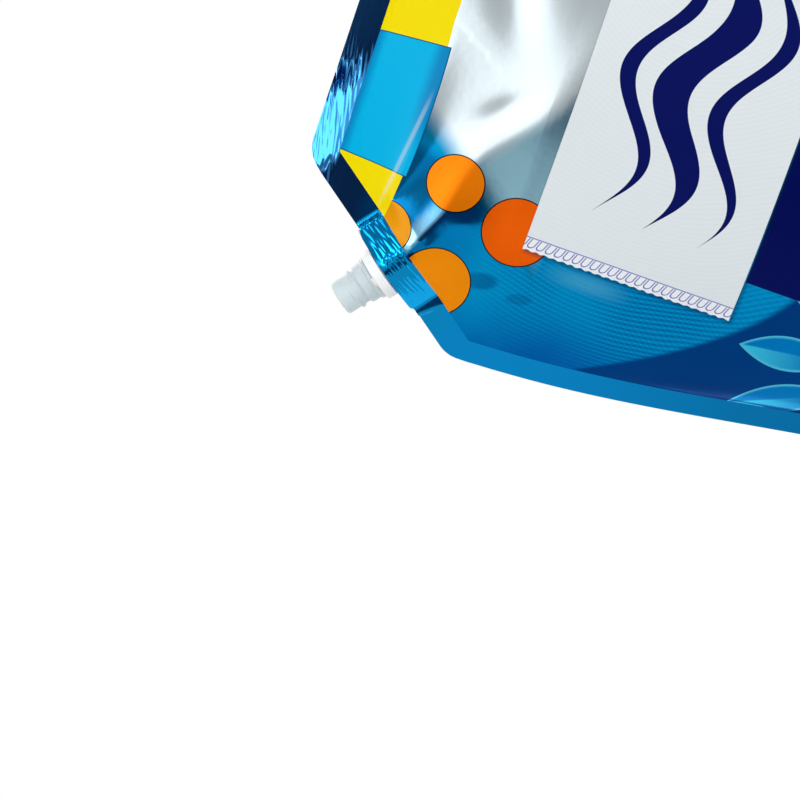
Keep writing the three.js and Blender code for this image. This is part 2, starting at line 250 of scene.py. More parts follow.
def path_place(x, z, path):
    """Distance along a path, and signed distance to its upper side, for each place."""
    best = np.full(x.shape, np.inf)
    run, off = np.zeros(x.shape), np.zeros(x.shape)
    done = 0.0
    for i in range(len(path) - 1):
        (x0, z0), (x1, z1) = path[i], path[i + 1]
        length = math.hypot(x1 - x0, z1 - z0)
        ux, uz = (x1 - x0) / length, (z1 - z0) / length
        t = (x - x0) * ux + (z - z0) * uz
        first, last = i == 0, i == len(path) - 2
        held = np.clip(t, -np.inf if first else 0, np.inf if last else length)
        away = np.hypot(x - x0 - held * ux, z - z0 - held * uz)
        closer = away < best
        best = np.where(closer, away, best)
        run = np.where(closer, done + held, run)
        off = np.where(closer, np.copysign(away, (z - z0) * ux - (x - x0) * uz), off)
        done += length
    return run, off, done


def crease(x, z, path, height, above, below, edge, fade_in=6.0, fade_out=0.4):
    """A ridge along a path. Each of its sizes is given at the path's start and at its end."""
    run, off, length = path_place(x, z, path)
    share = np.clip(run / length, 0, 1)
    size = [first + (last - first) * share for first, last in (height, above, below, edge)]
    tall, up, down, rounding = size
    reach = np.where(off > 0, up, down)
    slope = np.exp(-(np.sqrt(off**2 + rounding**2) - rounding) / reach)
    ends = smooth((run + fade_in) / fade_in) * smooth((length - run) / (fade_out * length))
    return tall * slope * ends


def eased(path):
    """The same path with its corners cut, twice over."""
    for _ in range(2):
        cut = [path[0]]
        for (x0, z0), (x1, z1) in zip(path, path[1:]):
            cut.append((0.75 * x0 + 0.25 * x1, 0.75 * z0 + 0.25 * z1))
            cut.append((0.25 * x0 + 0.75 * x1, 0.25 * z0 + 0.75 * z1))
        path = cut + [path[-1]]
    return path


def dent(x, z, place, reach, depth, turn):
    dx, dz = x - place[0], z - place[1]
    c, s = math.cos(turn), math.sin(turn)
    u, v = (dx * c + dz * s) / reach[0], (dz * c - dx * s) / reach[1]
    return -depth * np.exp(-(u**2) - v**2)


MAIN_CREASE = eased(
    [(-83.0, 276.3), (-73.8, 271.8), (-64.1, 267.4), (-53.2, 265.6), (-42.5, 262.4)]
    + [(-35.6, 257.5), (-26.6, 249.4), (-18.6, 243.3), (2.0, 236.0), (38.0, 228.0)]
)
STRIP_CREASE = eased([(-76.0, 287.5), (-71.7, 287.0), (-50.0, 285.6), (-25.4, 283.8), (8.0, 283.0)])
BACK_CREASE = eased([(-84.0, 274.0), (-66.0, 262.0), (-40.0, 258.0), (-8.0, 240.0), (30.0, 232.0)])

# Each dent's place, reach along and across, depth, and turn. A depth below 0 is a bulge.
FRONT_DENTS = [
    ((-20.9, 257.6), (9.0, 4.0), 0.5, -0.9),
    ((-66.0, 260.0), (6.0, 6.0), -0.3, 0.0),
    ((22.0, 270.0), (20.0, 8.0), 0.9, 0.5),
    ((58.0, 252.0), (26.0, 10.0), 1.4, 0.7),
    ((84.0, 205.0), (14.0, 30.0), 1.6, 0.2),
    ((-76.0, 92.0), (12.0, 30.0), 1.2, -0.2),
    ((40.0, 120.0), (40.0, 16.0), 1.2, 0.3),
]
BACK_DENTS = [
    ((-30.0, 268.0), (30.0, 9.0), 1.2, 0.5),
    ((40.0, 250.0), (24.0, 12.0), 1.6, -0.6),
    ((-76.0, 200.0), (14.0, 32.0), 1.6, -0.2),
    ((78.0, 170.0), (14.0, 34.0), 1.4, 0.2),
    ((0.0, 150.0), (46.0, 16.0), 1.2, -0.3),
]


def front_relief(x, z):
    stands = crease(x, z, MAIN_CREASE, (1.45, 1.9), (5.5, 26.0), (2.7, 19.0), (0.5, 8.0))
    stands += crease(x, z, STRIP_CREASE, (1.45, 0.6), (2.2, 4.0), (6.0, 8.0), (0.4, 1.2), 10.0, 0.6)
    return stands + sum(dent(x, z, *sizes) for sizes in FRONT_DENTS)


def back_relief(x, z):
    stands = crease(x, z, BACK_CREASE, (1.6, 1.8), (5.0, 24.0), (3.5, 18.0), (0.6, 8.0))
    return stands + sum(dent(x, z, *sizes) for sizes in BACK_DENTS)


# Relief of the seals and of the film beside them
GATHER_HEIGHT = 0.55
GATHER_REACH = 0.12
GATHER_CALM = 0.75
JAW_EASE = 0.8
UPPER_WELD = (2.5, 19.5)
LOWER_WELD = (-16.5, 3.5)
CRINKLE_HEIGHT = 0.16
STREAK_HEIGHT = 0.07
PINCH_HEIGHT = 0.46
PINCH_AT = 3.8
PINCH_WIDTH = 1.3
PINCH_WANDER = 1.6
JAW_LINE_HEIGHT = 0.42
JAW_LINE_AT = 19.0
JAW_LINE_WIDTH = 1.1
SQUEEZE_WIDTH = 0.9
SIDE_SQUEEZE = 0.1
TOP_SQUEEZE = 0.12
SKIRT_LINE_DEPTH = 0.35
SKIRT_LINE_WIDTH = 3.0
PULL_HEIGHT = 0.055
PULL_SLANT = 0.2
SEAL_EASE = 9.0
FOOT_EASE = 30.0
SWELL_EASE = 1.5


def side_gathers(x, z, side):
    """Short gathers that run in from the side seals."""
    across = body_share(x, z)
    near = np.exp(-(1 - np.abs(across)) / GATHER_REACH) * (1 - across**2) * 4
    wave = np.sin(z / 9.0 + side + x / 40) * np.sin(z / 23.0 + 2 * side)
    wave += 0.5 * np.sin(z / 5.2 - side * x / 60)
    inside = smooth((z - 12) / 40) * smooth((SEAL_TOP - z) / 60)
    quiet = 1 - GATHER_CALM * smooth((z - 110) / 50) * smooth(-x / 30)
    return GATHER_HEIGHT * wave * near * inside * quiet


def weld_marks(x, z):
    """What the welding jaws leave in the film over the spout's base."""
    along, inwards = cut_place(x, z)
    in_band = smooth(inwards / JAW_EASE) * smooth((CORNER_SEAL - inwards) / JAW_EASE)
    upper = smooth((along - UPPER_WELD[0]) / 2) * smooth((UPPER_WELD[1] - along) / 1.5)
    lower = smooth((LOWER_WELD[1] - along) / 2) * smooth((along - LOWER_WELD[0]) / 2)
    across = inwards + 0.12 * along
    crinkle = noise(along / 6.0, across / 0.55, 1) + 0.4 * noise(along / 2.5, across / 0.4, 2)
    streak = noise(along / 8.0, across / 0.5, 4) + 0.5 * noise(along / 3.0, across / 0.4, 8)
    wander = PINCH_WANDER * noise(inwards / 0.9, along / 3, 3)
    stands = CRINKLE_HEIGHT * crinkle * upper + STREAK_HEIGHT * streak * lower
    stands += PINCH_HEIGHT * bump((along - PINCH_AT - wander) / PINCH_WIDTH)
    stands += JAW_LINE_HEIGHT * bump((along - JAW_LINE_AT) / JAW_LINE_WIDTH)
    return in_band * stands


def squeezed_beads(x, z):
    """The narrow bead of film that the jaws squeeze out along the inside of the seals."""
    beside = (x - left_seal(z)) * np.where(z > SEAL_CORNER, math.cos(CUT_ANGLE), 1)
    stands = SIDE_SQUEEZE * bump(beside / SQUEEZE_WIDTH - 1)
    return stands + TOP_SQUEEZE * bump((SEAL_TOP - z) / SQUEEZE_WIDTH - 1)


def skirt_line(x, z):
    """The weld between the film and the gusset, just above the floor."""
    top = SKIRT_HEIGHT + SKIRT_RISE * foot_end(x)
    return -SKIRT_LINE_DEPTH * bump((z - top) / SKIRT_LINE_WIDTH)


def seal_pulls(x, z):
    """Fine pulls that run along the top seal beside the cut corner."""
    beside = smooth((-8 - x) / 30)
    inside = smooth((z - SEAL_TOP) / JAW_EASE) * smooth((HEIGHT - z) / JAW_EASE)
    slant = z - PULL_SLANT * x
    pulls = noise(x / 11, slant / 0.5, 6) + 0.7 * noise(x / 5, slant / 0.35, 7)
    return PULL_HEIGHT * beside * inside * pulls


def film_height(x, z, side):
    """Distance of one film from the pouch's middle plane."""
    relief = front_relief(x, z) if side < 0 else back_relief(x, z)
    from_sides = np.minimum(x - left_seal(z), right_seal(z) - x)
    inside = smooth(np.minimum(from_sides, SEAL_TOP - z) / SEAL_EASE)
    body = body_swell(x, z, side)
    filled = np.hypot(body, spout_swell(x, z))
    filled += (side_gathers(x, z, side) + relief) * inside * smooth(z / FOOT_EASE)
    filled += (squeezed_beads(x, z) + skirt_line(x, z)) * smooth(body / SWELL_EASE)
    return np.maximum(SEAL_THICKNESS / 2, filled) + weld_marks(x, z) + seal_pulls(x, z)


# Curl of the flat seals
TOP_CURL = 3.4
TOP_CURL_POWER = 1.12
TOP_CURL_START = -16.0
TOP_CURL_RUN = 13.0
TOP_CURL_END = -60.0
TOP_WAVE = 1.4
TOP_WAVE_START = 40.0
WISP_LENGTH = 5.0
CUT_CURL = 2.1
CUT_CURL_START = -20.9
SIDE_CURL = 1.1
UPPER_SIDE_CURL = 0.5


def sway(x, z):
    """How far the middle plane leaves y = 0, because the flat seals curl a little."""
    along, inwards = cut_place(x, z)
    above = z - SEAL_TOP
    up_top = np.clip(above / TOP_SEAL, 0, 1)
    wisps = WISP_LENGTH * noise(x / 17, (z - PULL_SLANT * x) / 0.6, 5)
    start = TOP_CURL_START - 0.8 * above + wisps
    end = TOP_CURL_END - 1.2 * above - 0.55 * wisps
    top_curl = TOP_CURL * up_top**TOP_CURL_POWER * smooth((start - x) / TOP_CURL_RUN) * smooth((x - end) / 5)
    beyond = x - TOP_WAVE_START
    top_wave = TOP_WAVE * up_top * np.sin(beyond / 17) * smooth(beyond / 25)
    cut_out = np.clip(1 - inwards / CORNER_SEAL, 0, 1)
    cut_out = cut_out * smooth((CUT_CURL_START - 0.17 * inwards - along) / 1.2)
    side_out = np.clip(1 - (x - left_edge(z)) / SIDE_SEAL, 0, 1) * smooth((CUT_LOW - z) / 12)
    side_lift = SIDE_CURL + UPPER_SIDE_CURL * smooth((z - 190) / 50) + 0.15 * np.sin(z / 21)
    left_curl = np.maximum(CUT_CURL * cut_out, side_lift * side_out)
    right_out = np.clip(1 - (right_edge(z) - x) / SIDE_SEAL, 0, 1)
    right_curl = right_out * (0.7 * np.sin(z / 26 + 1) + 0.4 * np.sin(z / 11))
    return (top_curl + top_wave + left_curl + right_curl) * smooth(z / 40)


# Meshes
LOW_ROWS = 24
MIDDLE_ROWS = 46
UPPER_ROWS = 134
SEAL_ROWS = 52
BELLY_TOP = 120.0
LEFT_STEPS = 44
RIGHT_STEPS = 10
LEFT_BODY_STEPS = 90
RIGHT_BODY_STEPS = 34
LEFT_BODY = 0.47
GUSSET_OPENING = 0.3
GUSSET_ROWS = 8
ROUND_STEPS = 120
NECK_RINGS = 8
NOSE_RINGS = 64
BORE_RINGS = 12
TAB_STEPS = 24
FRONT_INK, SEAL_INK, BACK_INK, GUSSET_INK = range(4)


def add_object(name, data):
    added = bpy.data.objects.new(name, data)
    bpy.context.scene.collection.objects.link(added)
    return added


def add_mesh(name, points, faces, materials, face_materials=None, sharp=35):
    mesh = bpy.data.meshes.new(name)
    mesh.from_pydata([tuple(p) for p in points], [], [tuple(f) for f in faces])
    for material in materials:
        mesh.materials.append(material)
    if face_materials is not None:
        mesh.polygons.foreach_set("material_index", np.asarray(face_materials, dtype=np.int32))
    mesh.polygons.foreach_set("use_smooth", np.ones(len(mesh.polygons), dtype=bool))
    mesh.validate()
    mesh.set_sharp_from_angle(angle=math.radians(sharp))
    return add_object(name, mesh)


def grid_faces(index):
    """Quads between the rows of point numbers, facing the reader when rows go up and columns right."""
    a, b = index[:-1, :-1], index[:-1, 1:]
    c, d = index[1:, 1:], index[1:, :-1]
    return np.stack([a, b, c, d], -1).reshape(-1, 4)


def add_points(points, more):
    """Adds an array of points to a list of them, and gives their numbers."""
    first = sum(len(p) for p in points)
    points.append(more)
    return first + np.arange(len(more))


def film_rows():
    low = np.linspace(0, BELLY_TOP, LOW_ROWS, endpoint=False)
    middle = np.linspace(BELLY_TOP, SEAL_CORNER, MIDDLE_ROWS, endpoint=False)
    upper = np.linspace(SEAL_CORNER, SEAL_TOP, UPPER_ROWS, endpoint=False)
    top = SEAL_TOP + TOP_SEAL * np.sin(np.linspace(0, math.pi / 2, SEAL_ROWS))
    return np.concatenate([low, middle, upper, top])


def lip_over(z):
    """How far the films' edges run out past the cut, over the spout's base."""
    along = (z - SPOUT_FOOT.z) / ALONG_CUT.z
    return LIP_OVER * smooth((BASE_HALF_LENGTH + TIP_COVER - np.abs(along)) / 3)


def film_columns(z):
    """Places across each row, closest together in the seals and at the left of the body."""
    edge, far = left_edge(z) - lip_over(z) / math.cos(CUT_ANGLE), right_edge(z)
    left = np.maximum(left_seal(z), edge + SIDE_SEAL / 2)
    right = np.minimum(right_seal(z), far - SIDE_SEAL / 2)
    middle = left + LEFT_BODY * (right - left)
    body = np.linspace(0, 1, LEFT_BODY_STEPS, endpoint=False)
    crowded = 0.6 * body + 0.4 * (1 - np.cos(body * math.pi / 2))
    other = np.linspace(0, 1, RIGHT_BODY_STEPS, endpoint=False)
    spread = 0.5 * other + 0.5 * np.sin(other * math.pi / 2)
    parts = [
        edge[:, None] + (left - edge)[:, None] * np.linspace(0, 1, LEFT_STEPS, endpoint=False),
        left[:, None] + (middle - left)[:, None] * crowded,
        middle[:, None] + (right - middle)[:, None] * spread,
        right[:, None] + (far - right)[:, None] * np.linspace(0, 1, RIGHT_STEPS + 1),
    ]
    return np.concatenate(parts, axis=1)


def foot_inside(x):
    """Half the inside depth between the films' skirts, at each place along the foot."""
    return np.clip(body_swell(x, np.zeros_like(x), 1) - SEAL_THICKNESS, 0, None)


def gusset_profile(x):
    """The underside across each place along the foot, from the front skirt to the back one: y and z."""
    inside = foot_inside(x)
    towards_end = foot_end(x)
    skirt = SKIRT_HEIGHT + (SKIRT_END_HEIGHT - SKIRT_HEIGHT) * towards_end
    floor = SKIRT_END_HEIGHT * towards_end + 0.05
    open_share = smooth(inside / 2)
    half = [(1.0, 0.0 * skirt), (1.0, skirt)]
    for share in np.linspace(0.12, 1, GUSSET_ROWS):
        half.append((1 - (1 - GUSSET_FLAT) * share, skirt + (floor - skirt) * smooth(share)))
    half.append((GUSSET_FLAT / 2, floor))
    front = [(-inside * v, z * open_share) for v, z in half]
    back = [(inside * v, z * open_share) for v, z in reversed(half)]
    return front + back


def make_pouch(materials):
    rows = film_rows()
    x = film_columns(rows)
    z = np.repeat(rows[:, None], x.shape[1], axis=1)
    middle = sway(x, z)
    y_front = middle - film_height(x, z, -1)
    y_back = middle + film_height(x, z, 1)
    front = np.arange(x.size).reshape(x.shape)
    back = front + x.size
    points = [np.stack([x, y, z], -1).reshape(-1, 3) for y in (y_front, y_back)]

    # The gusset goes as far along the foot as the films stand apart
    opened = np.flatnonzero(foot_inside(x[0]) > GUSSET_OPENING)
    along_foot = slice(opened[0], opened[-1] + 1)
    under = [front[0, along_foot]]
    for y, height in gusset_profile(x[0, along_foot]):
        under.append(add_points(points, np.stack([x[0, along_foot], y, height], -1)))
    under = np.stack([back[0, along_foot], *under[:0:-1], under[0]], 0)
    foot = np.stack([back[0], front[0]], 0)

    # The edge faces of the two films beside the spout, with the slot that its base stands in
    recess = np.maximum(lip_over(rows) - SLOT_MARGIN, SLOT_GAP / 2) / math.cos(CUT_ANGLE)
    inner_back = np.maximum(y_back - FILM, middle + SLOT_GAP / 2)[:, 0]
    inner_front = np.minimum(y_front + FILM, middle - SLOT_GAP / 2)[:, 0]
    slot = [back[:, 0]]
    for y, depth in ((inner_back, 0), (inner_back, recess), (inner_front, recess), (inner_front, 0)):
        slot.append(add_points(points, np.stack([x[:, 0] + depth, y, rows], -1)))
    slot = np.stack([*slot, front[:, 0]], 1)

    in_seal = np.zeros((x.shape[0] - 1, x.shape[1] - 1), dtype=bool)
    in_seal[:, :LEFT_STEPS] = True
    in_seal[:, -RIGHT_STEPS:] = True
    in_seal[-SEAL_ROWS + 1 :, :] = True
    sheets = [
        (grid_faces(front), np.where(in_seal, SEAL_INK, FRONT_INK).ravel()),
        (grid_faces(back)[:, ::-1], np.where(in_seal, SEAL_INK, BACK_INK).ravel()),
        (grid_faces(slot), SEAL_INK),
        (grid_faces(np.stack([front[:, -1], back[:, -1]], 1)), SEAL_INK),
        (grid_faces(np.stack([front[-1], back[-1]], 0)), SEAL_INK),
        (grid_faces(foot[:, : opened[0] + 1]), SEAL_INK),
        (grid_faces(foot[:, opened[-1] :]), SEAL_INK),
        (grid_faces(under), GUSSET_INK),
        ([slot[0][::-1], slot[-1]], SEAL_INK),
        ([under[:, 0], under[::-1, -1]], GUSSET_INK),
    ]
    faces, inks = [], []
    for sheet, ink in sheets:
        faces.extend(sheet)
        inks.append(np.broadcast_to(ink, len(sheet)))
    piece = add_mesh("pouch_film", np.concatenate(points) * MM, faces, materials, np.concatenate(inks), 50)
    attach(piece, "pouch")
    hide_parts("pouch")


def on_spout(local):
    """Places given up along the cut, out of the pouch and to the front of the spout's foot, on the row."""
    axes = Matrix((ALONG_CUT, OUT_OF_CUT, (0, -1, 0)))
    return local @ np.array(axes) + np.array(SPOUT_FOOT)


def ring_angles():
    return np.arange(ROUND_STEPS) * 2 * math.pi / ROUND_STEPS


def ring_points(radius, height):
    """Points of one ring round the spout's axis. The angle 0 faces the front."""
    angles = ring_angles()
    heights = np.full(angles.shape, height)
    return on_spout(np.stack([radius * np.sin(angles), heights, radius * np.cos(angles)], -1))


def closed_rings(rings):
    """Point numbers of a closed surface made of rings that follow each other round."""
    count = len(rings)
    index = np.arange(count * ROUND_STEPS).reshape(count, ROUND_STEPS)
    index = np.concatenate([index, index[:, :1]], axis=1)
    return np.concatenate([index, index[:1]], axis=0)


def boat_radius():
    """Distance from the axis to the outline of the spout's boat-shaped base, in each direction."""
    angles = ring_angles()
    share = np.linspace(0, 1, 2001)
    along = BASE_HALF_LENGTH * share
    depth = BASE_HALF_DEPTH * (1 - share**BASE_SHARPNESS)
    facing = np.abs(np.sin(angles)) / np.maximum(np.abs(np.cos(angles)), 1e-6)
    spot = np.interp(facing, along / np.maximum(depth, 1e-6), along)
    return np.hypot(spot, np.interp(spot, along, depth))


def tube_profile():
    """Radius and height along the outside of the tube, from the base to the lip, and down the bore."""
    profile = [
        (NECK_RADIUS + 0.3, BASE_TOP),
        (NECK_RADIUS + 0.08, BASE_TOP + 0.08),
        (NECK_RADIUS, BASE_TOP + 0.3),
        (NECK_RADIUS, BEAD_BOTTOM - 0.1),
        (NECK_RADIUS + 0.1, BEAD_BOTTOM),
        (BEAD_RADIUS - 0.15, BEAD_BOTTOM),
        (BEAD_RADIUS, BEAD_BOTTOM + 0.15),
        (BEAD_RADIUS, BEAD_TOP - 0.55),
        (BEAD_RADIUS - 0.12, BEAD_TOP - 0.35),
        (NECK_RADIUS + 0.12, BEAD_TOP - 0.06),
        (NECK_RADIUS, BEAD_TOP + 0.12),
    ]
    profile += [(NECK_RADIUS, h) for h in np.linspace(BEAD_TOP + 0.4, SHOULDER_BOTTOM - 0.25, NECK_RINGS)]
    profile += [(NECK_RADIUS - 0.06, SHOULDER_BOTTOM + 0.05), (NOSE_RADIUS + 0.1, NOSE_BOTTOM - 0.1)]
    profile += [(NOSE_RADIUS, h) for h in np.linspace(NOSE_BOTTOM + 0.15, LIP - 0.55, NOSE_RINGS)]
    for a in np.linspace(0, math.pi / 2, 7):
        profile.append((NOSE_RADIUS - LIP_ROUND * (1 - math.cos(a)), LIP - LIP_ROUND * (1 - math.sin(a))))
    for a in np.linspace(0, math.pi / 2, 6):
        profile.append((BORE_RADIUS + BORE_ROUND * (1 - math.sin(a)), LIP - BORE_ROUND * (1 - math.cos(a))))
    return profile + [(BORE_RADIUS, h) for h in np.linspace(LIP - 0.5, BASE_BOTTOM, BORE_RINGS)]


def thread_height(height):
    """How far the cap's thread stands out at one height round the nose."""
    angles = ring_angles()
    stands = np.zeros_like(angles)
    for turn in range(-1, math.ceil(THREAD_TURNS) + 1):
        turned = angles / (2 * math.pi) + turn
        away = np.abs(height - (NOSE_BOTTOM + THREAD_START + turned * THREAD_PITCH))
        ends = smooth(turned / THREAD_RUN_OUT) * smooth((THREAD_TURNS - turned) / THREAD_RUN_OUT)
        crest = THREAD_HEIGHT * np.clip((1 + THREAD_DELAY) * ends - THREAD_DELAY, 0, None)
        stands = np.maximum(stands, crest * smooth((THREAD_HALF_WIDTH - away) / THREAD_FLANK))
    return stands


def make_spout(material):
    boat = boat_radius()
    rings = [ring_points(boat, BASE_TOP)]
    for radius, height in tube_profile():
        on_nose = radius > BORE_RADIUS + BORE_ROUND and height > NOSE_BOTTOM
        rings.append(ring_points(radius + (thread_height(height) if on_nose else 0), height))
    rings.append(ring_points(boat, BASE_BOTTOM))
    faces = grid_faces(closed_rings(rings))
    piece = add_mesh("spout_moulding", np.concatenate(rings) * MM, faces, [material])
    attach(piece, "pouch")
    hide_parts("spout")


def stub(turn):
    """A stub on the band, with its edges rounded, as rings of points from its foot up."""
    steps = np.linspace(0, 2 * math.pi, TAB_STEPS, endpoint=False)
    inner, outer = BEAD_RADIUS + TAB_GAP, BAND_OUTER - BAND_EDGE_ROUND
    half_x, half_r = TAB_LENGTH / 2 - TAB_ROUND, (outer - inner) / 2 - TAB_ROUND
    top, near_top = BAND_TOP + TAB_HEIGHT, 0.3 * TAB_ROUND
    rings = []
    for below, shrink in ((TAB_HEIGHT + TAB_ROOT, 0), (TAB_ROUND, 0), (near_top, near_top), (0, TAB_ROUND)):
        corner = TAB_ROUND - shrink
        px = np.sign(np.cos(steps)) * half_x + corner * np.cos(steps)
        pr = (inner + outer) / 2 + np.sign(np.sin(steps)) * half_r + corner * np.sin(steps)
        local_x = px * math.cos(turn) + pr * math.sin(turn)
        local_z = pr * math.cos(turn) - px * math.sin(turn)
        rings.append(np.stack([local_x, np.full_like(px, top - below), local_z], -1))
    return on_spout(np.concatenate(rings))


def band_profile():
    """Radius and height round the band's section, with its corners rounded."""
    corners = [
        (BAND_OUTER - BAND_EDGE_ROUND, BAND_BOTTOM + BAND_EDGE_ROUND, BAND_EDGE_ROUND),
        (BAND_OUTER - BAND_EDGE_ROUND, BAND_TOP - BAND_EDGE_ROUND, BAND_EDGE_ROUND),
        (BAND_INNER + BAND_BORE_ROUND, BAND_TOP - BAND_BORE_ROUND, BAND_BORE_ROUND),
        (BAND_INNER + BAND_BORE_ROUND, BAND_BOTTOM + BAND_BORE_ROUND, BAND_BORE_ROUND),
    ]
    profile = []
    for i, (radius, height, rounding) in enumerate(corners):
        for a in np.linspace(i - 1, i, 6) * math.pi / 2:
            profile.append((radius + rounding * math.cos(a), height + rounding * math.sin(a)))
    return profile


def make_band(material):
    rings = [ring_points(radius, height) for radius, height in band_profile()]
    points = [np.concatenate(rings)]
    faces = list(grid_faces(closed_rings(rings)))
    for i in range(BAND_TABS):
        index = add_points(points, stub(i / BAND_TABS * 2 * math.pi)).reshape(-1, TAB_STEPS)
        faces += list(grid_faces(np.concatenate([index, index[:, :1]], axis=1)[:, ::-1]))
        faces += [index[-1][::-1], index[0]]
    piece = add_mesh("tamper_ring", np.concatenate(points) * MM, faces, [material])
    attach(piece, "tamper_band")
    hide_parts("tamper_band")


# Inks, and colours of painted shade and highlights, as linear light


def linear(red, green, blue):
    """A colour as it is seen on a screen, from 0 to 255, as linear light."""
    parts = [c / 255 for c in (red, green, blue)]
    return tuple(c / 12.92 if c <= 0.04045 else ((c + 0.055) / 1.055) ** 2.4 for c in parts) + (1.0,)


def dimmed(ink, share):
    return tuple(c * share for c in ink[:3]) + (1.0,)


AZURE = (0.002, 0.33, 0.80, 1.0)
DEEP_AZURE = (0.001, 0.115, 0.29, 1.0)
# Painted shade in the hollow above the main crease
HOLLOW_SHADE = (0.001, 0.055, 0.13, 1.0)
FRINGE_AZURE = (0.001, 0.22, 0.36, 1.0)
DARK_AZURE = (0.001, 0.038, 0.21, 1.0)
GROUND_BLUE = (0.001, 0.08, 0.33, 1.0)
CLOTH_AZURE = (0.001, 0.40, 0.82, 1.0)
CLOTH_THREAD = (0.001, 0.14, 0.44, 1.0)
CLOTH_SHADE = (0.001, 0.13, 0.50, 1.0)
# Painted highlight: the sheen on the cloth
CLOTH_PAINTED_SHEEN = (0.10, 0.52, 0.80, 1.0)
SEAL_AZURE = (0.002, 0.33, 0.71, 1.0)
WELD_AZURE = (0.001, 0.23, 0.52, 1.0)
TOP_SEAL_BLUE = (0.03, 0.19, 0.44, 1.0)
SILVER = (0.67, 0.76, 0.80, 1.0)
# Darker, bluer silver for lower down
LOWER_SILVER = (0.34, 0.62, 0.74, 1.0)
NAVY = linear(1, 12, 88)
YELLOW = linear(241, 219, 0)
SKY = linear(1, 177, 227)
SKY_SHADE = linear(0, 96, 168)
SKY_RIM = linear(6, 70, 120)
ORANGE = (1.0, 0.235, 0.002, 1.0)
LIGHT_ORANGE = (1.0, 0.30, 0.002, 1.0)
AMBER = (0.80, 0.31, 0.001, 1.0)
DEEP_ORANGE = (0.93, 0.125, 0.001, 1.0)
OUTLINE = linear(20, 20, 36)
LEAF_LIGHT = (0.05, 0.66, 0.95, 1.0)
LEAF_DEEP = (0.001, 0.20, 0.60, 1.0)
LEAF_FOLD = (0.001, 0.24, 0.66, 1.0)
LEAF_EDGE = (0.10, 0.66, 0.90, 1.0)
PAPER_WHITE = linear(222, 229, 232)
PAPER_THREAD = linear(218, 225, 229)
HEM_WHITE = linear(232, 236, 240)
STITCH_BLUE = linear(112, 118, 182)
BAR_GREY = linear(176, 199, 219)
CAST_SHADOW = (0.0, 0.01, 0.05, 1.0)
SPOUT_TINTS = (linear(224, 239, 247), linear(234, 246, 251))
BAND_TINTS = (linear(240, 243, 245), linear(247, 249, 250))
WHITE = (1.0, 1.0, 1.0, 1.0)
STAGE_GREY = (0.86, 0.86, 0.86, 1.0)
CARD_BLACK = (0.01, 0.01, 0.012, 1.0)


class Value:
    """A number that shader nodes work out at each place of a surface."""

    def __init__(self, graph, socket):
        self.graph = graph
        self.socket = socket

    def math(self, operation, *others):
        return Value(self.graph, self.graph.node("Math", self, *others, operation=operation).outputs[0])

    def __add__(self, other):
        return self.math("ADD", other)

    def __sub__(self, other):
        return self.math("SUBTRACT", other)

    def __mul__(self, other):
        return self.math("MULTIPLY", other)

    def __abs__(self):
        return self.math("ABSOLUTE")

    def step(self, start, end):
        """Goes smoothly from 0 to 1 as the value goes from start to end."""
        ends = (start, end, 0.0, 1.0) if start < end else (end, start, 1.0, 0.0)
        node = self.graph.node("MapRange", self, *ends, interpolation_type="SMOOTHSTEP")
        return Value(self.graph, node.outputs["Result"])

    def window(self, opening, closing):
        """Rises from 0 to 1 over one stretch of the value, and falls back over another."""
        return self.step(*opening) * self.step(*closing)

    def past(self, edge, soft=0.1):
        return self.step(edge - soft, edge + soft)

    def short_of(self, edge, soft=0.1):
        return self.step(edge + soft, edge - soft)

    def between(self, low, high, soft=0.12):
        return self.past(low, soft) * self.short_of(high, soft)

    def mix(self, first, second):
        """The first ink where the value is 0, and the second where it is 1."""
        node = self.graph.node("Mix", self, data_type="RGBA")
        self.graph.feed(node.inputs[6], first)
        self.graph.feed(node.inputs[7], second)
        return node.outputs[2]


def most(first, *others):
    for other in others:
        first = first.math("MAXIMUM", other)
    return first


class Graph:
    """The shader nodes of one material."""

    def __init__(self, name):
        self.material = bpy.data.materials.new(name)
        self.material.use_nodes = True
        self.nodes = self.material.node_tree.nodes
        self.shader = self.nodes["Principled BSDF"]
        self.place = self.nodes.new("ShaderNodeTexCoord").outputs["Object"]

    def feed(self, socket, value):
        """Links a value or another socket to a socket, or sets a constant on it."""
        source = value.socket if isinstance(value, Value) else value
        if isinstance(source, bpy.types.NodeSocket):
            self.material.node_tree.links.new(source, socket)
        else:
            socket.default_value = source

    def node(self, kind, *values, **settings):
        node = self.nodes.new("ShaderNode" + kind)
        for name, setting in settings.items():
            setattr(node, name, setting)
        for socket, value in zip(node.inputs, values):
            self.feed(socket, value)
        return node

    def hold(self, name, value):
        """Sets one of the shader's values for the whole piece."""
        self.shader.inputs[name].default_value = value

    def film_place(self):
        """The place on the film, in millimetres along x and z."""
        split = self.node("SeparateXYZ", self.place)
        return [Value(self, split.outputs[axis]) * (1 / MM) for axis in "XZ"]

    def noise(self, scale, detail=3.0, stretch=(1, 1, 1)):
        """Noise over the piece, with scale in waves to the millimetre, drawn out along an axis if asked."""
        mapping = self.node("Mapping", self.place)
        mapping.inputs["Scale"].default_value = stretch
        node = self.node("TexNoise", mapping.outputs[0])
        node.inputs["Scale"].default_value = scale / MM
        node.inputs["Detail"].default_value = detail
        return Value(self, node.outputs["Fac"])

    def gloss(self, low, high):
        """Roughness that changes a little from place to place."""
        return self.noise(0.05, 4.0) * (high - low) + low

    def bumps(self, height, distance, strength):
        node = self.node("Bump", strength, distance * MM)
        self.feed(node.inputs["Height"], height)
        self.feed(self.shader.inputs["Normal"], node.outputs[0])

    def finish(self, colour, metallic, roughness):
        self.feed(self.shader.inputs["Base Color"], colour)
        self.feed(self.shader.inputs["Metallic"], metallic)
        self.feed(self.shader.inputs["Roughness"], roughness)
        return self.material
